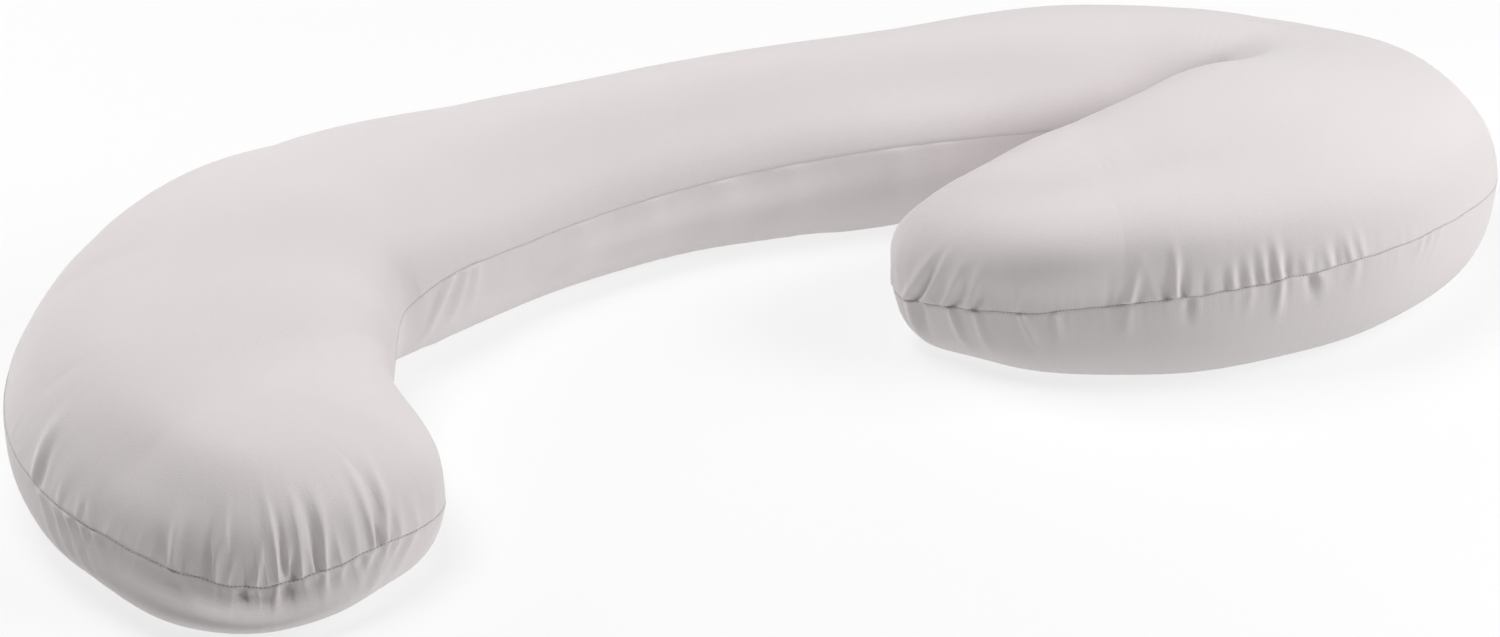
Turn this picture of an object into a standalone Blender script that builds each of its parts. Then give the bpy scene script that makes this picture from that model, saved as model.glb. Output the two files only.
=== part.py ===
"""Body pillow: a long stuffed pillow in the shape of a C, sewn from two equal panels.

The pillow lies flat on its lower panel. The C opens towards -Y, its long back runs along X,
and the fuller of its two hooks is at +X. Lengths are in metres.
"""

import math
from collections import namedtuple

import bmesh
import bpy
import numpy as np

# One row for each section across the pillow, from the left end of the C to the right end.
# x, y and heading (degrees from +X) place the middle of the section on the plan, width is its
# greatest width, and the last three are heights: the seam on the outside of the C, the seam on
# the inside, and the crown between them.
Section = namedtuple("Section", "x y heading width outer_seam inner_seam crown")
SECTIONS = (
    Section(-0.535, -0.115, 117, 0.345, 0.085, 0.035, 0.145),
    Section(-0.545, -0.035, 97, 0.355, 0.090, 0.045, 0.165),
    Section(-0.520, 0.050, 75, 0.330, 0.100, 0.060, 0.175),
    Section(-0.460, 0.115, 54, 0.285, 0.100, 0.075, 0.185),
    Section(-0.360, 0.155, 17, 0.245, 0.095, 0.085, 0.175),
    Section(-0.210, 0.180, 0, 0.205, 0.090, 0.085, 0.160),
    Section(-0.015, 0.185, -22, 0.185, 0.085, 0.090, 0.160),
    Section(0.190, 0.160, -18, 0.185, 0.080, 0.100, 0.160),
    Section(0.375, 0.135, -23, 0.180, 0.075, 0.090, 0.160),
    Section(0.495, 0.090, -52, 0.170, 0.075, 0.090, 0.155),
    Section(0.565, 0.030, -90, 0.180, 0.080, 0.095, 0.160),
    Section(0.580, -0.040, -113, 0.225, 0.090, 0.100, 0.180),
    Section(0.545, -0.105, -134, 0.290, 0.105, 0.105, 0.200),
    Section(0.465, -0.140, -156, 0.310, 0.120, 0.110, 0.215),
    Section(0.360, -0.150, -172, 0.285, 0.115, 0.115, 0.210),
    Section(0.260, -0.130, -190, 0.245, 0.100, 0.120, 0.190),
)

# The outline round each rounded end, from the outside of the C to the inside: how far past the
# end section it lies, how far towards the outside of the C, and the heights of the widest level
# and of the seam.
Turn = namedtuple("Turn", "past aside widest seam")
LEFT_END = (
    Turn(0.140, 0.120, 0.060, 0.070),
    Turn(0.180, 0.015, 0.055, 0.070),
    Turn(0.155, -0.075, 0.060, 0.050),
)
RIGHT_END = (
    Turn(0.105, 0.090, 0.075, 0.085),
    Turn(0.185, -0.015, 0.075, 0.060),
    Turn(0.120, -0.065, 0.075, 0.070),
)

# A section is widest at this share of its crown's height.
WIDEST_SHARE = 0.45
# Fullness of a section's four quarters, as across and up: 2 is an ellipse, more is squarer.
UPPER_FULLNESS = (2.4, 2.3)
LOWER_FULLNESS = (2.8, 2.4)
# The lower panel would hang this far below the floor, which presses it flat.
FLOOR_PRESS = 0.023

# The seam lies in a shallow fold: half its width, and how far the stitching draws it in.
FOLD_HALF_WIDTH = 0.005
DRAWN_IN = 0.003

STEPS_PER_SECTION = 5
ROWS_PER_PANEL = 7

CLOTH_COLOUR = (0.76, 0.72, 0.73, 1.0)
CLOTH_ROUGHNESS = 0.92


def spline_slopes(knots, lengths, closed):
    """Slopes that carry a smooth curve through the knots, whatever their spacing."""
    leaving = np.diff(knots, axis=0, append=knots[:1]) / lengths[:, None]
    arriving = np.roll(leaving, 1, axis=0)
    before = np.roll(lengths, 1)
    slopes = (leaving * before[:, None] + arriving * lengths[:, None]) / (lengths + before)[:, None]
    if not closed:
        slopes[0] = leaving[0]
        slopes[-1] = leaving[-2]
    return slopes


def smooth_curve(knots, closed):
    """STEPS_PER_SECTION points along each span of the smooth curve through the knots."""
    knots = np.asarray(knots, dtype=float)
    lengths = np.linalg.norm(np.diff(knots, axis=0, append=knots[:1]), axis=1)
    slopes = spline_slopes(knots, lengths, closed)
    points = []
    for start in range(len(knots) if closed else len(knots) - 1):
        end = (start + 1) % len(knots)
        for step in range(STEPS_PER_SECTION):
            t = step / STEPS_PER_SECTION
            points.append(
                (2 * t**3 - 3 * t**2 + 1) * knots[start]
                + (t**3 - 2 * t**2 + t) * lengths[start] * slopes[start]
                + (3 * t**2 - 2 * t**3) * knots[end]
                + (t**3 - t**2) * lengths[start] * slopes[end]
            )
    if not closed:
        points.append(knots[-1])
    return np.array(points)


def along_and_across(section):
    """Unit directions on the plan: along the pillow, and across it to the outside of the C."""
    turn = math.radians(section.heading)
    return np.array((math.cos(turn), math.sin(turn))), np.array((-math.sin(turn), math.cos(turn)))


def outline_knots():
    """The outline's knots, once round the pillow: outside, right end, inside, left end.

    A knot is x, y, the height of the widest level and the height of the seam.
    """
    outer, inner = [], []
    for section in SECTIONS:
        middle = np.array((section.x, section.y))
        half = along_and_across(section)[1] * section.width / 2
        widest = WIDEST_SHARE * section.crown
        outer.append((*(middle + half), widest, section.outer_seam))
        inner.append((*(middle - half), widest, section.inner_seam))
    ends = []
    for section, turns, way in ((SECTIONS[-1], RIGHT_END, 1), (SECTIONS[0], LEFT_END, -1)):
        along, across = along_and_across(section)
        middle = np.array((section.x, section.y))
        places = [middle + way * t.past * along + t.aside * across for t in turns]
        ends.append([(*place, t.widest, t.seam) for place, t in zip(places, turns)])
    return [*outer, *ends[0], *reversed(inner), *reversed(ends[1])]


def middle_index(outline_index):
    """The point of the middle line that faces a point of the outline."""
    last = STEPS_PER_SECTION * (len(SECTIONS) - 1)
    back_at_start = 2 * last + STEPS_PER_SECTION * (len(RIGHT_END) + 1)
    if outline_index > back_at_start:
        return 0
    return min(outline_index, back_at_start - outline_index, last)


def points_at(widest, crown, turn):
    """One point of each section, at a turn from 1 at the crown through 0 at the widest level to
    -1 at the middle of the underside."""
    upper = turn >= 0
    angle = np.abs(turn) * math.pi / 2
    across = np.where(upper, UPPER_FULLNESS[0], LOWER_FULLNESS[0])
    up = np.where(upper, UPPER_FULLNESS[1], LOWER_FULLNESS[1])
    inwards = 1 - np.cos(angle) ** (2 / across)
    rise = np.where(upper, crown[:, 2] - widest[:, 2], -FLOOR_PRESS - widest[:, 2])
    plan = widest[:, :2] + (crown[:, :2] - widest[:, :2]) * inwards[:, None]
    height = widest[:, 2] + rise * np.sin(angle) ** (2 / up)
    return np.column_stack((plan, np.maximum(height, 0)))


def turn_at(widest, crown, height):
    """The turn at which each section reaches a height."""
    upper = height >= widest[:, 2]
    rise = np.where(upper, crown[:, 2] - widest[:, 2], -FLOOR_PRESS - widest[:, 2])
    up = np.where(upper, UPPER_FULLNESS[1], LOWER_FULLNESS[1])
    angle = np.arcsin(((height - widest[:, 2]) / rise) ** (up / 2))
    return np.where(upper, angle, -angle) / (math.pi / 2)


def panel_rows(widest, crown, seam_turn, way):
    """Rows of points from beside the seam to beside the middle line: way is 1 for the upper
    panel and -1 for the lower one."""
    small_turn = 0.02
    step = points_at(widest, crown, seam_turn + way * small_turn)
    step -= points_at(widest, crown, seam_turn)
    first = seam_turn + way * small_turn * FOLD_HALF_WIDTH / np.linalg.norm(step, axis=1)
    shares = [row / ROWS_PER_PANEL for row in range(ROWS_PER_PANEL)]
    return [points_at(widest, crown, first + (way - first) * share) for share in shares]


def seam_points(beside_above, beside_below, crown):
    """The seam, half way between the rows beside it and drawn in towards the middle."""
    seam = (beside_above + beside_below) / 2
    inwards = (crown - seam)[:, :2]
    seam[:, :2] += DRAWN_IN * inwards / np.linalg.norm(inwards, axis=1)[:, None]
    return seam


def add_panel(bm, seam_verts, rows, middle):
    """Faces between the rows of one panel, then from its last row to the middle line."""
    count = len(seam_verts)
    outer_row = seam_verts
    for points in rows:
        inner_row = [bm.verts.new(point) for point in points]
        for i in range(count):
            j = (i + 1) % count
            bm.faces.new((outer_row[i], outer_row[j], inner_row[j], inner_row[i]))
        outer_row = inner_row
    middle_verts = [bm.verts.new(point) for point in middle]
    for i in range(count):
        j = (i + 1) % count
        here, there = middle_verts[middle_index(i)], middle_verts[middle_index(j)]
        corners = (outer_row[i], outer_row[j], there)
        bm.faces.new(corners if here is there else (*corners, here))


def cloth_material():
    material = bpy.data.materials.new("cotton cover")
    material.use_nodes = True
    shader = material.node_tree.nodes["Principled BSDF"]
    shader.inputs["Base Color"].default_value = CLOTH_COLOUR
    shader.inputs["Roughness"].default_value = CLOTH_ROUGHNESS
    shader.inputs["Metallic"].default_value = 0.0
    material.diffuse_color = CLOTH_COLOUR
    return material


def make_pillow():
    outline = smooth_curve(outline_knots(), closed=True)
    middle = smooth_curve([(s.x, s.y, s.crown) for s in SECTIONS], closed=False)
    widest, seam_height = outline[:, :3], outline[:, 3]
    crown = middle[[middle_index(index) for index in range(len(outline))]]
    seam_turn = turn_at(widest, crown, seam_height)
    upper_rows = panel_rows(widest, crown, seam_turn, 1)
    lower_rows = panel_rows(widest, crown, seam_turn, -1)

    bm = bmesh.new()
    seam = [bm.verts.new(point) for point in seam_points(upper_rows[0], lower_rows[0], crown)]
    add_panel(bm, seam, upper_rows, middle)
    add_panel(bm, seam, lower_rows, middle * np.array((1, 1, 0)))
    bmesh.ops.recalc_face_normals(bm, faces=bm.faces)

    # The origin goes under the middle of the pillow's box, on the floor.
    places = np.array([vert.co for vert in bm.verts])
    centre = (places.min(axis=0) + places.max(axis=0)) / 2
    bmesh.ops.translate(bm, verts=bm.verts, vec=(-centre[0], -centre[1], 0))

    mesh = bpy.data.meshes.new("pillow")
    bm.to_mesh(mesh)
    bm.free()
    mesh.shade_smooth()
    mesh.materials.append(cloth_material())
    pillow = bpy.data.objects.new("pillow", mesh)
    bpy.context.scene.collection.objects.link(pillow)


for old in list(bpy.data.objects):
    bpy.data.objects.remove(old)
make_pillow()
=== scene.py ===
import math

import bmesh
import bpy
import numpy as np
from mathutils import Euler, Matrix, Vector, noise
from mathutils.kdtree import KDTree


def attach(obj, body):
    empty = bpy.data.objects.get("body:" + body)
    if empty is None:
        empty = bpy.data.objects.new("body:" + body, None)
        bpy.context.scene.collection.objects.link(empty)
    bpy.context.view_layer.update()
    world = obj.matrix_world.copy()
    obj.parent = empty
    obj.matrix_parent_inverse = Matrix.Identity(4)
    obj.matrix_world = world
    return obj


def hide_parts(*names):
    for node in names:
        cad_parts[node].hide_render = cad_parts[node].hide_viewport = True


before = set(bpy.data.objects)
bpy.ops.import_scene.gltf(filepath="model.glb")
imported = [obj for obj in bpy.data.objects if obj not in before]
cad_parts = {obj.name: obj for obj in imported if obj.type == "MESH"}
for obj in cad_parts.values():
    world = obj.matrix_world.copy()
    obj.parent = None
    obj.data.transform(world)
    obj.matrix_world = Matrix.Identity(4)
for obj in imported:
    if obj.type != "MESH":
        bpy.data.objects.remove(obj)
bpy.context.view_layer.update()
print("frame loaded")


cover = {
    "mergeDistance": 1e-5,
    "foldAngle": 0.4,         # the seam is the one long fold sharper than this, in radians
    "poleEdges": 8,           # more edges than this meet only at the ends of the middle line
    # places along the seam, from and to, and how often the columns between them are halved
    "fineStretches": ((2.71, 4.50, 0), (2.04, 2.62, 2), (-0.02, 0.48, 2)),
    "halvings": 1,            # of the columns everywhere else
    "crownSmoothing": (0.5, -0.52) * 3,
    "crownRings": 3,          # the crown lies further than this many edges from the seam
    "crownHeight": 0.05,      # and higher than this
    "ditchDepth": 0.0008,     # the stitching pulls the seam in this far
    "ditchWidth": 0.0013,
    "ditchShadeWidth": 0.0008,      # half the width of the painted shade in the ditch along it
    "leastBite": 0.2,         # how much of both is left where the seam lies slack
}


def straightest(here, before, edges):
    # the next point of a line of edges, going straight on
    onward = [e.other_vert(here) for e in here.link_edges if e in edges]
    way = (here.co - before.co).normalized()
    return max((v for v in onward if v is not before), key=lambda v: (v.co - here.co).normalized().dot(way))


def walkLoop(edges):
    # the points of a closed line of edges, anticlockwise from above, starting furthest to the left
    start = min((v for e in edges for v in e.verts), key=lambda v: (v.co.x, v.index))
    beside = [e.other_vert(start) for e in start.link_edges if e in edges]
    path = [start, min(beside, key=lambda v: v.co.y)]
    while path[-1] is not start:
        path.append(straightest(path[-1], path[-2], edges))
    return path[:-1]


def markSeam(bm):
    folds = {e for e in bm.edges if e.calc_face_angle_signed(0) < -cover["foldAngle"]}
    path = walkLoop(folds)
    for v, w in zip(path, path[1:] + path[:1]):
        [e for e in v.link_edges if e.other_vert(v) is w][0].seam = True
    return path


def ringsFrom(path):
    # how many edges each point lies from the seam
    ringOf = {v: 0 for v in path}
    edge = list(path)
    while edge:
        ahead = []
        for v in edge:
            for e in v.link_edges:
                w = e.other_vert(v)
                if w not in ringOf:
                    ringOf[w] = ringOf[v] + 1
                    ahead.append(w)
        edge = ahead
    return ringOf


def stripDiagonals(startEdge, ringOf):
    # walks once round a strip of triangles: columns and diagonals take turns
    def crosses(e):
        return ringOf[e.verts[0]] != ringOf[e.verts[1]]

    def isEven(e):
        corners = {v for f in e.link_faces for v in f.verts}
        inner = min(ringOf[v] for v in corners)
        return sum(ringOf[v] == inner for v in corners) == 2

    walked, edge, face = [startEdge], startEdge, startEdge.link_faces[0]
    while True:
        onward = [e for e in face.edges if e is not edge and crosses(e)]
        if len(onward) != 1:
            return walked, []
        edge = onward[0]
        if edge is startEdge:
            break
        walked.append(edge)
        face = [f for f in edge.link_faces if f is not face][0]
    good = [half for half in (walked[0::2], walked[1::2]) if all(isEven(e) for e in half)]
    return walked, max(good, key=lambda half: sum(e.calc_length() for e in half), default=[])


def backToQuads(bm, path):
    ringOf = ringsFrom(path)
    diagonals, walked = [], set()
    for e in bm.edges:
        if ringOf[e.verts[0]] != ringOf[e.verts[1]] and e not in walked:
            strip, extra = stripDiagonals(e, ringOf)
            walked.update(strip)
            diagonals += extra
    bmesh.ops.dissolve_edges(bm, edges=diagonals)
    poles = {v for v in bm.verts if len(v.link_edges) > cover["poleEdges"]}
    loose = [f for f in bm.faces if len(f.verts) == 3 and not poles.intersection(f.verts)]
    bmesh.ops.join_triangles(bm, faces=loose, angle_face_threshold=math.pi, angle_shape_threshold=math.pi)


def coverFromCad():
    bm = bmesh.new()
    bm.from_mesh(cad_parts["pillow"].data)
    bmesh.ops.remove_doubles(bm, verts=bm.verts, dist=cover["mergeDistance"])
    bm.normal_update()
    path = markSeam(bm)
    print("seam found,", len(path), "points")
    backToQuads(bm, path)
    # the fold is smoothed out here, and made again finer at the end
    for v in path:
        beside = [e.other_vert(v).co for e in v.link_edges if not e.seam]
        v.co = sum(beside, Vector()) / len(beside)
    ringOf = ringsFrom(path)
    crown = [v for v in bm.verts if ringOf[v] > cover["crownRings"] and v.co.z > cover["crownHeight"]]
    for factor in cover["crownSmoothing"]:
        blend(crown, factor)
    return bm


def blend(verts, factor):
    # moves each point towards the middle of its neighbours, or away from it
    middles = [sum((e.other_vert(v).co for e in v.link_edges), Vector()) / len(v.link_edges) for v in verts]
    for v, middle in zip(verts, middles):
        v.co = v.co.lerp(middle, factor)


def asMesh(bm, name):
    mesh = bpy.data.meshes.new(name)
    bm.normal_update()
    bm.to_mesh(mesh)
    bm.free()
    mesh.shade_smooth()
    return mesh


def place(name, mesh):
    piece = bpy.data.objects.new(name, mesh)
    bpy.context.scene.collection.objects.link(piece)
    return piece


def evaluatedMesh(piece):
    shown = piece.evaluated_get(bpy.context.evaluated_depsgraph_get())
    return bpy.data.meshes.new_from_object(shown)


def smoother(mesh, name="smoother"):
    # one step of subdivision, applied
    piece = place(name, mesh)
    subsurf = piece.modifiers.new(name, "SUBSURF")
    subsurf.levels = subsurf.render_levels = 1
    subsurf.use_limit_surface = False
    finer = evaluatedMesh(piece)
    bpy.data.objects.remove(piece)
    return finer


def edgeRing(edge):
    # the edges met by going straight across the quads, both ways
    found = [edge]
    for face in edge.link_faces:
        here = edge
        while len(face.verts) == 4:
            here = [e for e in face.edges if not set(e.verts) & set(here.verts)][0]
            if here is edge:
                break
            found.append(here)
            face = [f for f in here.link_faces if f is not face][0]
    return found


def splitColumns(bm, seamEdges):
    chosen = sorted({e for s in seamEdges for e in edgeRing(s)}, key=lambda e: e.index)
    bmesh.ops.subdivide_edges(bm, edges=chosen, cuts=1)
    bm.edges.index_update()


def isWithin(along, start, end, length):
    return (along - start) % length < end - start


def refineColumns(bm):
    # each stretch of the seam has its columns halved as often as the cover's table says
    most = max(cover["halvings"], *(n for a, b, n in cover["fineStretches"]))
    for turn in range(most):
        path = walkLoop({e for e in bm.edges if e.seam})
        lengths = [(w.co - v.co).length for v, w in zip(path, path[1:] + path[:1])]
        total, here, chosen = sum(lengths), 0.0, []
        for v, w, step in zip(path, path[1:] + path[:1], lengths):
            wanted = [n for a, b, n in cover["fineStretches"] if isWithin(here + step / 2, a, b, total)]
            if (wanted or [cover["halvings"]])[0] > turn:
                chosen.append([e for e in v.link_edges if e.other_vert(v) is w][0])
            here += step
        splitColumns(bm, chosen)


def readPoints(mesh):
    points = np.zeros(len(mesh.vertices) * 3)
    mesh.vertices.foreach_get("co", points)
    return points.reshape(-1, 3)


def readNormals(mesh):
    normals = np.zeros(len(mesh.vertices) * 3, np.float32)
    mesh.vertex_normals.foreach_get("vector", normals)
    return normals.reshape(-1, 3).astype(float)


def writePoints(mesh, points):
    mesh.vertices.foreach_set("co", np.ascontiguousarray(points, np.float32).ravel())
    mesh.update()


def seamIndices(mesh):
    bm = bmesh.new()
    bm.from_mesh(mesh)
    path = [v.index for v in walkLoop({e for e in bm.edges if e.seam})]
    bm.free()
    return path


rounding = {
    "steps": 1000,            # places at which a line round the pillow is looked at
    "table": 0.045,           # how far to each side of its corners a table is rounded off
    "seam": 0.06,             # bends of the seam shorter than this don't turn the gathers
}


def rounded(at, places, values, length, reach):
    # values at some places round a closed line, with their corners rounded off
    grid = np.linspace(0, length, rounding["steps"], endpoint=False)
    values = np.interp(grid, places, values, period=length)
    count = int(reach / grid[1])
    weights = np.hanning(2 * count + 3)[1:-1]
    around = np.concatenate([values[-count:], values, values[:count]])
    values = np.convolve(around, weights / weights.sum(), "valid")
    return np.interp(at, grid, values, period=length)


def nearestOn(line, points):
    # for each point, the nearest place on a closed line: its step, the share of it, and the place
    steps = np.diff(line, axis=0, append=line[:1])
    tree = KDTree(len(line))
    for i, p in enumerate(line.tolist()):
        tree.insert(p, i)
    tree.balance()
    nearest = np.array([tree.find(p)[1] for p in points.tolist()])
    step, share, foot = nearest, np.zeros(len(points)), line[nearest]
    for back in (1, 0):
        i = (nearest - back) % len(line)
        t = np.clip(((points - line[i]) * steps[i]).sum(1) / (steps[i] ** 2).sum(1), 0, 1)
        spot = line[i] + steps[i] * t[:, None]
        closer = np.linalg.norm(points - spot, axis=1) <= np.linalg.norm(points - foot, axis=1)
        step, share = np.where(closer, i, step), np.where(closer, t, share)
        foot = np.where(closer[:, None], spot, foot)
    return step, share, foot


def seamPlaces(points, seam):
    # for each point: how far along the seam it lies, how far away, and whether on the upper panel
    lengths = np.linalg.norm(np.diff(seam, axis=0, append=seam[:1]), axis=1)
    start = np.concatenate([[0], np.cumsum(lengths)[:-1]])
    length = lengths.sum()
    even = [rounded(start, start, seam[:, axis], length, rounding["seam"]) for axis in range(3)]
    step, share, foot = nearestOn(np.stack(even, axis=1), points)
    along = start[step] + share * lengths[step]
    foot = nearestOn(seam, points)[2]
    return along, np.linalg.norm(points - foot, axis=1), points[:, 2] > foot[:, 2], length


# along the seam, in metres from its furthest left point, anticlockwise from above: how far the
# stitching draws the cloth in, how much spare cloth is gathered into it, how much flatter than
# the plain shape the upper panel lies, and how wide a strip of it does
seamTension = (
    (0.00, 0.003, 0.3, 0.001, 0.12),
    (0.10, 0.009, 0.6, 0.004, 0.12),
    (0.20, 0.020, 0.9, 0.009, 0.12),
    (0.25, 0.028, 1.0, 0.010, 0.12),
    (0.30, 0.032, 1.0, 0.009, 0.12),
    (0.38, 0.018, 0.9, 0.002, 0.12),
    (0.44, 0.005, 0.6, -0.002, 0.12),
    (0.50, 0.003, 0.4, -0.002, 0.12),
    (0.62, 0.003, 0.2, 0.000, 0.12),
    (0.75, 0.003, 0.2, 0.000, 0.12),
    (0.80, 0.003, 0.4, 0.001, 0.12),
    (0.90, 0.005, 0.3, 0.010, 0.12),
    (1.00, 0.011, 0.2, 0.014, 0.12),
    (1.18, 0.011, 0.2, 0.014, 0.12),
    (1.30, 0.006, 0.2, 0.014, 0.12),
    (1.45, 0.003, 0.2, 0.010, 0.11),
    (1.56, 0.003, 0.3, 0.006, 0.11),
    (1.64, 0.004, 0.4, -0.010, 0.13),
    (1.72, 0.003, 0.3, -0.002, 0.12),
    (1.80, 0.003, 0.3, 0.002, 0.12),
    (2.00, 0.003, 0.4, 0.000, 0.12),
    (2.09, 0.003, 0.6, -0.006, 0.11),
    (2.18, 0.004, 0.6, -0.015, 0.11),
    (2.27, 0.006, 0.6, -0.024, 0.11),
    (2.34, 0.005, 0.7, -0.021, 0.12),
    (2.40, 0.004, 0.8, -0.016, 0.12),
    (2.47, 0.002, 0.7, -0.007, 0.12),
    (2.55, 0.000, 0.5, -0.002, 0.12),
    (2.70, 0.001, 0.3, -0.001, 0.12),
    (2.90, 0.001, 0.2, 0.002, 0.12),
    (4.00, 0.001, 0.2, 0.002, 0.12),
    (4.40, 0.003, 0.3, 0.000, 0.12),
)

# how much plumper than the plain shape the pillow is below its crown, at places along the seam
plumpness = (
    (0.00, 0.0025), (0.07, 0.0010), (0.13, -0.0045), (0.20, 0.0035), (0.25, 0.0025),
    (0.33, 0.0005), (0.36, 0.0005), (0.41, -0.0030), (0.45, -0.0010), (0.48, 0.0090),
    (0.54, 0.0035), (0.62, 0.0045), (0.78, 0.0005), (0.90, 0.0025), (1.05, 0.0015),
    (1.30, 0.0040), (2.03, -0.0030), (2.09, 0.0065), (2.15, -0.0020), (2.30, 0.0020),
    (2.37, 0.0045), (2.45, 0.0020), (2.60, 0.0015), (2.73, 0.0045), (2.80, 0.0015),
    (3.00, 0.0015), (4.20, 0.0010), (4.45, 0.0020), (4.55, 0.0035),
)

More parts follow.
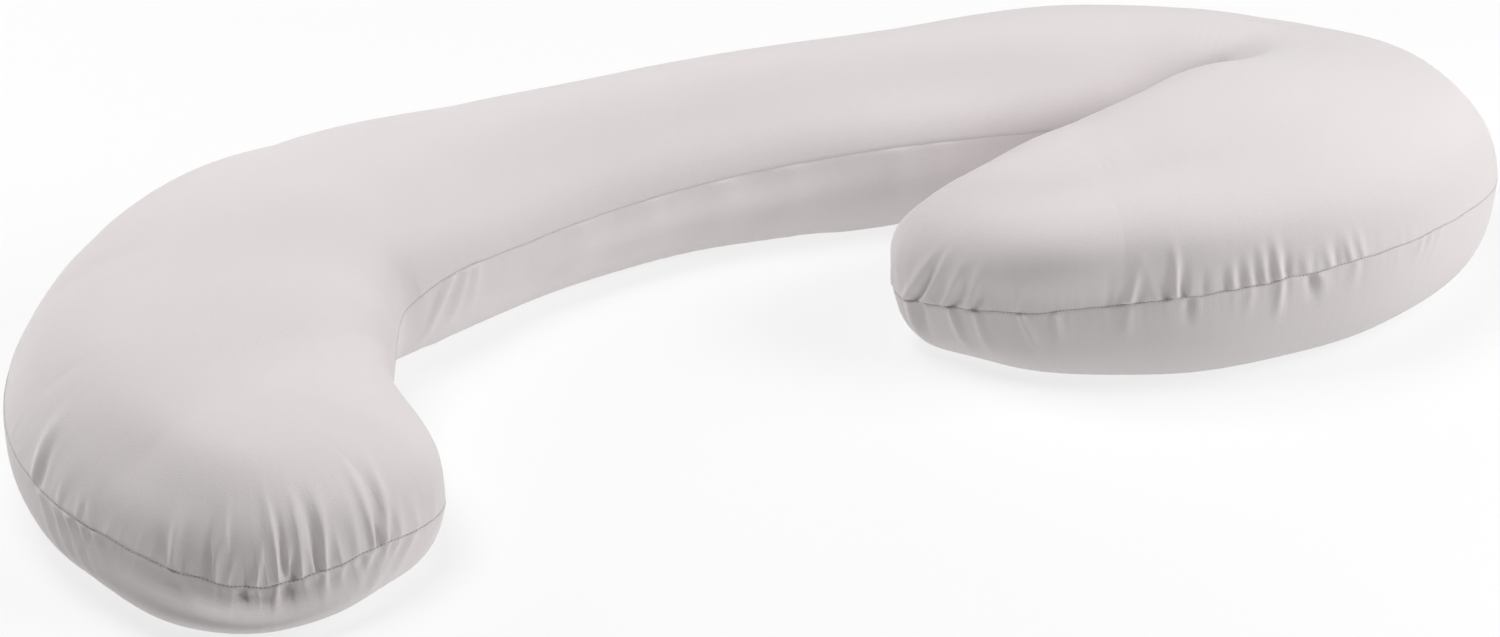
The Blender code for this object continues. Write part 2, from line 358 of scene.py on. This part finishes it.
# the gathers that show most. Side (1 upper panel, -1 lower), place along the seam, height (minus
# for a trough), half width, reach from the seam, and how far it leans along the seam for each
# metre away
gathers = {
    "rows": (
        # left hook, upper panel
        (1, 0.045, 0.0040, 0.0050, 0.065, -0.30),
        (1, 0.054, -0.0024, 0.0040, 0.045, -0.30),
        (1, 0.084, 0.0018, 0.0035, 0.028, -0.35),
        (1, 0.108, 0.0016, 0.0030, 0.024, -0.30),
        (1, 0.125, 0.0022, 0.0035, 0.035, -0.50),
        (1, 0.203, -0.0034, 0.0040, 0.030, -0.40),
        (1, 0.210, 0.0044, 0.0036, 0.052, -0.15),
        (1, 0.220, -0.0020, 0.0030, 0.018, -0.10),
        (1, 0.229, 0.0016, 0.0030, 0.030, 0.40),
        (1, 0.2435, -0.0036, 0.0040, 0.060, -0.10),
        (1, 0.250, 0.0050, 0.0034, 0.064, 0.07),
        (1, 0.260, 0.0022, 0.0028, 0.034, 0.36),
        (1, 0.279, -0.0036, 0.0036, 0.016, 0.00),
        (1, 0.2885, 0.0042, 0.0028, 0.036, 0.37),
        (1, 0.315, 0.0038, 0.0036, 0.080, -0.05),
        (1, 0.3215, -0.0058, 0.0032, 0.058, 0.00),
        (1, 0.3205, 0.0044, 0.0024, 0.030, 0.34),
        (1, 0.329, -0.0056, 0.0034, 0.030, 0.25),
        (1, 0.336, 0.0038, 0.0036, 0.070, 0.12),
        (1, 0.347, 0.0018, 0.0024, 0.036, 0.12),
        (1, 0.352, -0.0060, 0.0038, 0.066, 0.03),
        (1, 0.358, 0.0044, 0.0032, 0.064, 0.15),
        (1, 0.363, -0.0020, 0.0028, 0.016, 0.10),
        (1, 0.374, 0.0018, 0.0030, 0.034, -0.10),
        (1, 0.389, 0.0018, 0.0036, 0.054, 0.05),
        (1, 0.405, 0.0044, 0.0034, 0.074, 0.05),
        (1, 0.411, -0.0052, 0.0032, 0.054, 0.10),
        (1, 0.418, 0.0044, 0.0030, 0.072, 0.18),
        (1, 0.425, -0.0024, 0.0030, 0.024, 0.08),
        (1, 0.434, 0.0020, 0.0030, 0.036, 0.10),
        (1, 0.454, 0.0015, 0.0035, 0.032, -0.05),
        (1, 0.476, 0.0014, 0.0035, 0.030, 0.20),
        # left hook, lower panel
        (-1, 0.056, 0.0030, 0.0040, 0.056, 0.72),
        (-1, 0.077, 0.0032, 0.0040, 0.058, 0.72),
        (-1, 0.094, 0.0034, 0.0040, 0.066, 0.74),
        (-1, 0.110, 0.0030, 0.0040, 0.062, 0.78),
        (-1, 0.124, 0.0024, 0.0040, 0.055, 0.76),
        (-1, 0.208, 0.0018, 0.0050, 0.036, 1.10),
        (-1, 0.275, -0.0060, 0.0040, 0.023, 0.10),
        (-1, 0.312, 0.0034, 0.0024, 0.032, -0.22),
        (-1, 0.324, -0.0062, 0.0055, 0.036, -0.30),
        (-1, 0.358, 0.0034, 0.0028, 0.032, -0.27),
        (-1, 0.377, 0.0018, 0.0030, 0.028, -0.55),
        (-1, 0.405, 0.0026, 0.0030, 0.034, -0.80),
        (-1, 0.421, 0.0034, 0.0030, 0.048, -0.62),
        (-1, 0.434, 0.0028, 0.0030, 0.042, -0.80),
        (-1, 0.450, 0.0026, 0.0035, 0.044, -0.58),
        (-1, 0.488, 0.0018, 0.0035, 0.036, -0.90),
        # right hook, upper panel
        (1, 2.072, 0.0026, 0.0035, 0.030, 0.45),
        (1, 2.099, 0.0044, 0.0038, 0.056, 0.92),
        (1, 2.112, -0.0046, 0.0034, 0.056, 0.80),
        (1, 2.121, 0.0038, 0.0034, 0.060, 0.70),
        (1, 2.142, 0.0048, 0.0032, 0.046, 0.70),
        (1, 2.153, -0.0028, 0.0030, 0.036, 0.62),
        (1, 2.165, 0.0046, 0.0032, 0.044, 0.62),
        (1, 2.174, -0.0030, 0.0030, 0.030, 0.55),
        (1, 2.188, 0.0020, 0.0030, 0.024, 0.42),
        (1, 2.214, 0.0030, 0.0028, 0.026, 0.20),
        (1, 2.298, -0.0022, 0.0035, 0.034, 0.10),
        (1, 2.307, -0.0018, 0.0030, 0.030, 0.20),
        (1, 2.317, 0.0044, 0.0032, 0.036, 0.26),
        (1, 2.326, -0.0020, 0.0030, 0.030, 0.20),
        (1, 2.342, 0.0022, 0.0034, 0.042, -0.30),
        (1, 2.350, -0.0040, 0.0034, 0.036, 0.07),
        (1, 2.358, 0.0062, 0.0025, 0.046, 0.02),
        (1, 2.365, -0.0048, 0.0030, 0.033, 0.03),
        (1, 2.383, -0.0018, 0.0030, 0.026, 0.00),
        (1, 2.403, -0.0026, 0.0030, 0.027, -0.07),
        (1, 2.411, 0.0020, 0.0030, 0.026, -0.07),
        (1, 2.418, -0.0026, 0.0030, 0.031, -0.12),
        (1, 2.427, 0.0020, 0.0030, 0.031, -0.12),
        (1, 2.433, -0.0024, 0.0030, 0.032, -0.15),
        (1, 2.441, 0.0026, 0.0030, 0.038, -0.16),
        (1, 2.447, -0.0022, 0.0026, 0.032, -0.13),
        (1, 2.454, 0.0042, 0.0028, 0.042, -0.13),
        (1, 2.461, -0.0038, 0.0030, 0.026, -0.09),
        (1, 2.480, 0.0016, 0.0035, 0.025, -0.10),
        (1, 2.502, 0.0024, 0.0030, 0.026, -0.16),
        (1, 2.509, -0.0022, 0.0030, 0.022, -0.14),
        (1, 2.523, 0.0032, 0.0030, 0.030, -0.18),
        (1, 2.535, 0.0028, 0.0032, 0.030, -0.14),
        # right hook, lower panel
        (-1, 2.106, 0.0046, 0.0040, 0.056, 0.00),
        (-1, 2.118, -0.0040, 0.0036, 0.045, -0.03),
        (-1, 2.149, 0.0044, 0.0032, 0.054, 0.18),
        (-1, 2.175, 0.0042, 0.0032, 0.052, 0.15),
        (-1, 2.219, 0.0036, 0.0032, 0.052, 0.30),
        (-1, 2.250, 0.0020, 0.0036, 0.040, 0.08),
        (-1, 2.318, 0.0024, 0.0040, 0.034, -0.20),
        (-1, 2.370, -0.0038, 0.0040, 0.026, -0.12),
        (-1, 2.426, 0.0024, 0.0030, 0.024, -0.12),
        (-1, 2.454, 0.0040, 0.0030, 0.036, -0.10),
        (-1, 2.482, -0.0050, 0.0040, 0.026, 0.20),
        (-1, 2.491, 0.0024, 0.0040, 0.026, 0.20),
        (-1, 2.527, 0.0016, 0.0040, 0.030, -0.10),
        (-1, 2.604, 0.0020, 0.0028, 0.022, -0.35),
        (-1, 2.616, 0.0020, 0.0028, 0.024, -0.38),
        (-1, 2.628, 0.0018, 0.0028, 0.024, -0.28),
        # inside of the C
        (-1, 0.822, -0.0008, 0.0050, 0.050, -1.10),
        (-1, 0.835, 0.0034, 0.0050, 0.052, -1.10),
        (-1, 0.844, -0.0010, 0.0045, 0.052, -0.95),
        (-1, 0.853, 0.0032, 0.0045, 0.050, -0.62),
        (-1, 0.864, 0.0028, 0.0055, 0.048, -0.30),
        (-1, 0.985, 0.0022, 0.0110, 0.070, -0.35),
        (-1, 1.020, -0.0012, 0.0090, 0.060, -0.30),
        (-1, 1.060, 0.0020, 0.0120, 0.070, -0.28),
        (-1, 1.130, 0.0026, 0.0120, 0.070, -0.25),
        (-1, 1.165, -0.0010, 0.0100, 0.060, -0.25),
        (-1, 1.200, 0.0018, 0.0110, 0.070, -0.20),
        (-1, 1.301, 0.0020, 0.0100, 0.070, -0.10),
        (-1, 1.345, 0.0014, 0.0090, 0.060, -0.10),
    ),
    "length": 1.25,           # how much longer they are than the reach above
    "start": 0.0015,          # they begin this far from the stitching
    "flare": 1.0,             # how much wider they are at their far end
    "edge": 6,                # nothing is left of one this many half widths from its middle
}


def gatherHeight(along, away, upper, length):
    total = np.zeros(len(along))
    for side, centre, height, width, shortReach, lean in gathers["rows"]:
        reach = shortReach * gathers["length"]
        off = (along - centre - lean * away + length / 2) % length - length / 2
        near = (away < reach) & (np.abs(off) < gathers["edge"] * width)
        here = np.nonzero((upper == (side > 0)) & near)[0]
        off, far = off[here], away[here]
        spread = width * (1 + gathers["flare"] * far / reach)
        fade = far / (far + gathers["start"]) * (1 - (far / reach) ** 2) ** 2
        total[here] += height * np.exp(-(off / spread) ** 2) * fade
    return total


softness = {
    "valley": 0.006,          # the cloth is drawn in furthest this far below the seam
    "drawInAbove": 0.045,     # how far from there the drawing in fades, on the upper panel
    "drawInBelow": 0.028,
    "sag": 0.65,              # how far the seam sinks for each metre that it is drawn in
    "waveSize": 0.11,         # long soft undulations of the stuffed cloth
    "waveHeight": 0.0018,
    "rippleSize": 0.007,      # small puckers all along the seam
    "rippleHeight": 0.0016,
    "rippleReach": 0.018,
    "rippleStretch": 8,       # they are this many times as long as wide
    "panelsApart": 40,        # far enough for the puckers of the two panels to differ
    "wobbleSize": 0.022,      # the seam wanders up and down between its gathers
    "wobbleHeight": 0.0030,
    "wobbleReach": 0.014,
    "wobbleLayer": 7.3,       # another layer of the same noise
    "leastSlope": 0.3,        # on flatter cloth than this the drawing in fades
}


def tension(along, length, column, table=seamTension):
    # one column of a table, with its corners rounded off
    places, values = [row[0] for row in table], [row[column] for row in table]
    return rounded(along, places, values, length, rounding["table"])


def biteAt(along, length):
    # the seam bites deeper, and its painted shade is darker, where more cloth is gathered into it
    return cover["leastBite"] + (1 - cover["leastBite"]) * tension(along, length, 2)


def noiseAt(places):
    return np.array([noise.noise(p) for p in places.tolist()])


def noiseRound(along, length, size, across):
    # noise along the seam that meets itself after one turn
    turn, radius = 2 * math.pi * along / length, length / (2 * math.pi * size)
    return noiseAt(np.stack([radius * np.cos(turn), radius * np.sin(turn), across], axis=1))


def shaping(along, away, upper, length, points, normals):
    # how far each point moves from the plain shape
    rise = np.where(upper, away, -away) + softness["valley"]
    reach = np.where(rise > 0, softness["drawInAbove"], softness["drawInBelow"])
    drawn = tension(along, length, 1) * np.exp(-(rise / reach) ** 2)
    share = np.clip(away / tension(along, length, 4), 0, 1)
    flatter = np.where(upper, tension(along, length, 3) * np.sin(math.pi * share) ** 2, 0)
    waves = softness["waveHeight"] * noiseAt(points / softness["waveSize"])
    fullness = tension(along, length, 2)

    rippleLength = softness["rippleSize"] * softness["rippleStretch"]
    across = np.where(upper, 0.0, softness["panelsApart"]) + away / rippleLength
    ripples = noiseRound(along, length, softness["rippleSize"], across)
    ripples *= softness["rippleHeight"] * fullness * away / (away + gathers["start"])
    ripples *= np.exp(-(away / softness["rippleReach"]) ** 2)
    plumper = tension(along, length, 1, plumpness) * (1 - np.maximum(normals[:, 2], 0) ** 2)
    height = gatherHeight(along, away, upper, length) + waves + ripples + plumper - flatter

    # the seam is drawn in towards the filling, and sags as it goes
    inwards = -normals * (1, 1, 0)
    inwards /= np.maximum(np.linalg.norm(inwards, axis=1), softness["leastSlope"])[:, None]
    inwards[:, 2] -= softness["sag"]
    move = normals * height[:, None] + inwards * drawn[:, None]
    layer = np.full(len(along), softness["wobbleLayer"])
    wobble = noiseRound(along, length, softness["wobbleSize"], layer)
    move[:, 2] += softness["wobbleHeight"] * fullness * wobble * np.exp(-away / softness["wobbleReach"])
    return move


stuffing = {
    "pressure": 4.0,
    "frames": 20,
    "quality": 6,
    "bending": 0.1,
    "mostMove": 0.006,        # no point moves further than this
    "fullness": 0.05,         # how much longer than its seam the gathered cloth is
    "leastFullness": 0.01,    # less than this is left out
    "fullReach": 0.05,
    "floorTouch": 0.001,      # cloth lower than this stays on the floor
    "softening": 4,           # times that neighbouring points share how far they have moved
}


def pressedOut(mesh, pins, fullness):
    # where the points go when the filling pushes the cloth out, and the spare cloth buckles
    scene = bpy.context.scene
    trial = place("trial", mesh.copy())
    pinGroup = trial.vertex_groups.new(name="pins")
    pinGroup.add([int(i) for i in np.nonzero(pins)[0]], 1.0, "REPLACE")
    fullGroup = trial.vertex_groups.new(name="fullness")
    for i in np.nonzero(fullness > stuffing["leastFullness"])[0]:
        fullGroup.add([int(i)], float(fullness[i]), "REPLACE")
    cloth = trial.modifiers.new("cloth", "CLOTH")
    settings = cloth.settings
    settings.quality = stuffing["quality"]
    settings.vertex_group_mass = "pins"
    settings.use_pressure = True
    settings.uniform_pressure_force = stuffing["pressure"]
    settings.effector_weights.gravity = 0
    settings.vertex_group_shrink = "fullness"
    settings.shrink_min = 0
    settings.shrink_max = -stuffing["fullness"]
    settings.bending_stiffness = stuffing["bending"]
    cloth.point_cache.frame_start = 1
    cloth.point_cache.frame_end = stuffing["frames"]
    for number in range(1, stuffing["frames"] + 1):
        scene.frame_set(number)
    after = readPoints(evaluatedMesh(trial))
    bpy.data.objects.remove(trial)
    scene.frame_set(1)
    return after


def stuff(mesh):
    # the cover is pressed out against its seam, and no point goes too far
    before, seam = readPoints(mesh), seamIndices(mesh)
    along, away, upper, length = seamPlaces(before, before[seam])
    pins = before[:, 2] < stuffing["floorTouch"]
    pins[seam] = True
    fullness = tension(along, length, 2) * np.exp(-(away / stuffing["fullReach"]) ** 2)
    move = pressedOut(mesh, pins, fullness) - before
    size = np.linalg.norm(move, axis=1)
    most = stuffing["mostMove"]
    move *= (most * np.tanh(size / most) / np.maximum(size, 1e-9))[:, None]
    for turn in range(stuffing["softening"]):
        move = evenedOut(mesh, move)
    writePoints(mesh, flattened(before + move))


def evenedOut(mesh, values):
    # each point's value, half way to the average of its neighbours
    pairs = np.zeros(len(mesh.edges) * 2, int)
    mesh.edges.foreach_get("vertices", pairs)
    pairs = pairs.reshape(-1, 2)
    count = np.bincount(pairs.ravel(), minlength=len(values))
    total = np.zeros_like(values)
    for here, there in ((0, 1), (1, 0)):
        for axis in range(values.shape[1]):
            weights = values[pairs[:, there], axis]
            total[:, axis] += np.bincount(pairs[:, here], weights, minlength=len(values))
    return (values + total / count[:, None]) / 2


def makeCover():
    mesh = smoother(asMesh(coverFromCad(), "cover"))
    bm = bmesh.new()
    bm.from_mesh(mesh)
    refineColumns(bm)
    mesh = asMesh(bm, "cover")
    print("coarse cover made,", len(mesh.vertices), "points")
    stuff(mesh)
    print("cover stuffed")
    mesh = smoother(mesh)

    points, seam = readPoints(mesh), seamIndices(mesh)
    along, away, upper, length = seamPlaces(points, points[seam])
    points += shaping(along, away, upper, length, points, readNormals(mesh))
    writePoints(mesh, flattened(points))
    bite = biteAt(along, length)
    ditch = cover["ditchDepth"] * bite * np.exp(-(away / cover["ditchWidth"]) ** 2)
    writePoints(mesh, flattened(points - readNormals(mesh) * ditch[:, None]))
    # painted shade in the seam's ditch, darker where the seam bites deeper
    shown = bite * np.exp(-(away / cover["ditchShadeWidth"]) ** 2)
    ditchShadeLayer = mesh.attributes.new("seamDitchShade", "FLOAT", "POINT")
    ditchShadeLayer.data.foreach_set("value", shown.astype(np.float32))
    mesh.shade_smooth()
    mesh.name = "pillow-cover"
    print("cover shaped,", len(mesh.polygons), "faces")
    path = (readPoints(mesh) + readNormals(mesh) * stitch["lift"])[seam]
    return place("pillow-cover", mesh), path


def flattened(points):
    points[:, 2] = np.maximum(points[:, 2], 0)
    return points


class Shade:
    # wraps a socket, so that shader maths reads as ordinary sums

    def __init__(self, tree, socket):
        self.tree, self.socket = tree, socket

    def maths(self, operation, *values):
        return addNode(self.tree, "ShaderNodeMath", {"operation": operation}, dict(enumerate(values)))

    def __add__(self, other):
        return self.maths("ADD", self, other)

    def __radd__(self, other):
        return self.maths("ADD", other, self)

    def __mul__(self, other):
        return self.maths("MULTIPLY", self, other)

    def __rmul__(self, other):
        return self.maths("MULTIPLY", other, self)


def addNode(tree, kind, settings=None, sockets=None, out=0):
    node = tree.nodes.new(kind)
    for name, value in (settings or {}).items():
        setattr(node, name, value)
    for name, value in (sockets or {}).items():
        if isinstance(value, Shade):
            tree.links.new(value.socket, node.inputs[name])
        else:
            node.inputs[name].default_value = value
    return Shade(tree, node.outputs[out])


cotton = {
    "colour": (0.690, 0.647, 0.647, 1),
    "shadeColour": (0.661, 0.619, 0.619, 1),
    # painted shade in the ditch along the seam
    "ditchShadeColour": (0.54, 0.51, 0.515, 1),
    "roughness": 0.9,
    "sheen": 0.15,
    "gloss": 0.2,
    "cloudSize": 9,           # noise cells to the metre: soft clouds of shade, and the nap
    "napSize": 900,
    "noiseDetail": 3,
    "napHeight": 0.0003,
    "napTint": 0.35,          # how far the nap darkens the cloth towards the shade colour
}


def newMaterial(name):
    material = bpy.data.materials.new(name)
    material.use_nodes = True
    tree = material.node_tree
    shader = tree.nodes["Principled BSDF"]
    return material, tree, shader


def connect(tree, shade, socket):
    tree.links.new(shade.socket, socket)


def noiseShade(tree, where, size, detail):
    sockets = {"Vector": where, "Scale": size, "Detail": detail}
    return addNode(tree, "ShaderNodeTexNoise", None, sockets)


def mixColours(tree, share, first, second):
    return addNode(tree, "ShaderNodeMix", {"data_type": "RGBA"}, {0: share, 6: first, 7: second}, out=2)


def cottonMaterial():
    material, tree, shader = newMaterial("plain woven cotton")
    where = addNode(tree, "ShaderNodeTexCoord", out=3)
    cloud = noiseShade(tree, where, cotton["cloudSize"], cotton["noiseDetail"])
    nap = noiseShade(tree, where, cotton["napSize"], cotton["noiseDetail"])
    # how much of the painted ditch shade each point gets
    ditchShadeShare = addNode(tree, "ShaderNodeAttribute", {"attribute_name": "seamDitchShade"}, out=2)
    shade = cloud * (1 - cotton["napTint"]) + nap * cotton["napTint"]
    tint = mixColours(tree, shade, cotton["shadeColour"], cotton["colour"])
    connect(tree, mixColours(tree, ditchShadeShare, tint, cotton["ditchShadeColour"]), shader.inputs["Base Color"])
    bump = addNode(tree, "ShaderNodeBump", None, {"Height": nap, "Distance": cotton["napHeight"]})
    connect(tree, bump, shader.inputs["Normal"])
    shader.inputs["Roughness"].default_value = cotton["roughness"]
    shader.inputs["Sheen Weight"].default_value = cotton["sheen"]
    shader.inputs["Specular IOR Level"].default_value = cotton["gloss"]
    return material


stitch = {
    "spacing": 0.0034,
    "holes": (0.2, 0.8),      # a thread goes down into the cloth at these shares of its spacing
    "length": 0.0011,         # half of a thread's length, and of its thickness
    "thickness": 0.00055,
    "sides": 6,
    "rings": 4,
    "lift": 0.0004,           # the threads lie this far above the bottom of the ditch
    "runLength": 40,          # stitches are made this many at a time, which is quicker
    "colour": (0.19, 0.17, 0.175, 1),
    "roughness": 0.8,
    "twistSize": 2500,        # noise cells to the metre
    "twistDetail": 2,
}


def threadRun(places):
    # some of the stitches, each a small round-ended thread from one place to the next
    bm = bmesh.new()
    for here, ahead, bite in places:
        turn = (ahead - here).to_track_quat("X", "Z").to_matrix().to_4x4()
        thick = stitch["thickness"] * bite
        size = Matrix.Diagonal((stitch["length"], thick, thick, 1))
        at = Matrix.Translation((here + ahead) / 2) @ turn @ size
        sides, rings = stitch["sides"], stitch["rings"]
        bmesh.ops.create_uvsphere(bm, u_segments=sides, v_segments=rings, radius=1, matrix=at)
    return asMesh(bm, "run")


def threadPlaces(path):
    # where each thread starts and ends, and how deep the seam bites there
    steps = np.linalg.norm(np.diff(path, axis=0, append=path[:1]), axis=1)
    start = np.concatenate([[0], np.cumsum(steps)])
    closed = np.vstack([path, path[:1]])
    count = int(start[-1] / stitch["spacing"])
    marks = (np.arange(count)[:, None] + np.array(stitch["holes"])) * start[-1] / count
    ends = np.stack([np.interp(marks, start, closed[:, i]) for i in range(3)], axis=2)
    bites = biteAt(marks[:, 0], start[-1])
    return [(Vector(a), Vector(b), bite) for (a, b), bite in zip(ends, bites)]


def threadMaterial():
    material, tree, shader = newMaterial("sewing thread")
    where = addNode(tree, "ShaderNodeTexCoord", out=3)
    twist = noiseShade(tree, where, stitch["twistSize"], stitch["twistDetail"])
    tint = mixColours(tree, twist, stitch["colour"], cotton["shadeColour"])
    connect(tree, tint, shader.inputs["Base Color"])
    shader.inputs["Roughness"].default_value = stitch["roughness"]
    return material


def makeStitches(path):
    places = threadPlaces(path)
    bm = bmesh.new()
    for first in range(0, len(places), stitch["runLength"]):
        run = threadRun(places[first:first + stitch["runLength"]])
        bm.from_mesh(run)
        bpy.data.meshes.remove(run)
    threads = place("seam-stitches", asMesh(bm, "seam-stitches"))
    threads.data.materials.append(threadMaterial())
    print("seam stitched,", len(places), "stitches")
    return threads


stage = {
    "floorSize": 24.0,
    "floorGap": 0.0005,
    "floorColour": (0.22, 0.22, 0.22, 1),
    "floorRoughness": 0.9,
    "floorGlow": 0.72,        # a lit table, as for a catalogue: it leaves next to no shadow
    "skyColour": (0.5, 0.5, 0.5, 1),
    "lookAt": (-0.0056, 0.0054, 0.0),
    "cameraAt": (-0.9941, -2.2680, 1.6946),
    "lens": 77.23,
    "sensorWidth": 36,
    "lampDistance": 3.0,
    "lampSize": 1.6,
    # name, bearing from +X and height over the floor in degrees, power
    "lamps": (
        ("right", -33, 35, 63),
        ("overhead", 152, 71, 59),
        ("lowBackLeft", 135, 18, 34),
        ("lowBackRight", 45, 18, 11),
        ("front", -90, 18, 4),
    ),
}


def areaLight(name, bearing, height, power):
    data = bpy.data.lights.new(name, "AREA")
    data.size, data.energy = stage["lampSize"], power
    lamp = bpy.data.objects.new(name, data)
    turn = Euler((0, -math.radians(height), math.radians(bearing)))
    lamp.location = turn.to_matrix() @ Vector((stage["lampDistance"], 0, 0))
    lamp.rotation_euler = (-lamp.location).to_track_quat("-Z", "Y").to_euler()
    bpy.context.scene.collection.objects.link(lamp)


def makeFloor():
    bm = bmesh.new()
    below = Matrix.Translation((0, 0, -stage["floorGap"]))
    bmesh.ops.create_grid(bm, x_segments=1, y_segments=1, size=stage["floorSize"], matrix=below)
    floor = place("floor", asMesh(bm, "floor"))
    material, tree, shader = newMaterial("pale floor")
    shader.inputs["Base Color"].default_value = stage["floorColour"]
    shader.inputs["Roughness"].default_value = stage["floorRoughness"]
    shader.inputs["Emission Color"].default_value = (1, 1, 1, 1)
    shader.inputs["Emission Strength"].default_value = stage["floorGlow"]
    floor.data.materials.append(material)


def makeSky():
    # it shows behind the floor but lights nothing
    world = bpy.context.scene.world = bpy.data.worlds.new("studio")
    world.use_nodes = True
    background = world.node_tree.nodes["Background"]
    background.inputs["Color"].default_value = stage["skyColour"]
    for kind in ("diffuse", "glossy", "transmission", "scatter"):
        setattr(world.cycles_visibility, kind, False)


def makeCamera():
    data = bpy.data.cameras.new("camera")
    data.lens, data.sensor_width = stage["lens"], stage["sensorWidth"]
    camera = bpy.data.objects.new("camera", data)
    camera.location = stage["cameraAt"]
    way = Vector(stage["lookAt"]) - Vector(stage["cameraAt"])
    camera.rotation_euler = way.to_track_quat("-Z", "Y").to_euler()
    bpy.context.scene.collection.objects.link(camera)
    bpy.context.scene.camera = camera


pillow, seamPath = makeCover()
pillow.data.materials.clear()
pillow.data.materials.append(cottonMaterial())
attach(pillow, "root")
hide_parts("pillow")

threads = makeStitches(seamPath)
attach(threads, "root")

makeFloor()
makeSky()
for lamp in stage["lamps"]:
    areaLight(*lamp)
makeCamera()
bpy.context.scene.view_settings.view_transform = "Standard"
print("stage set")
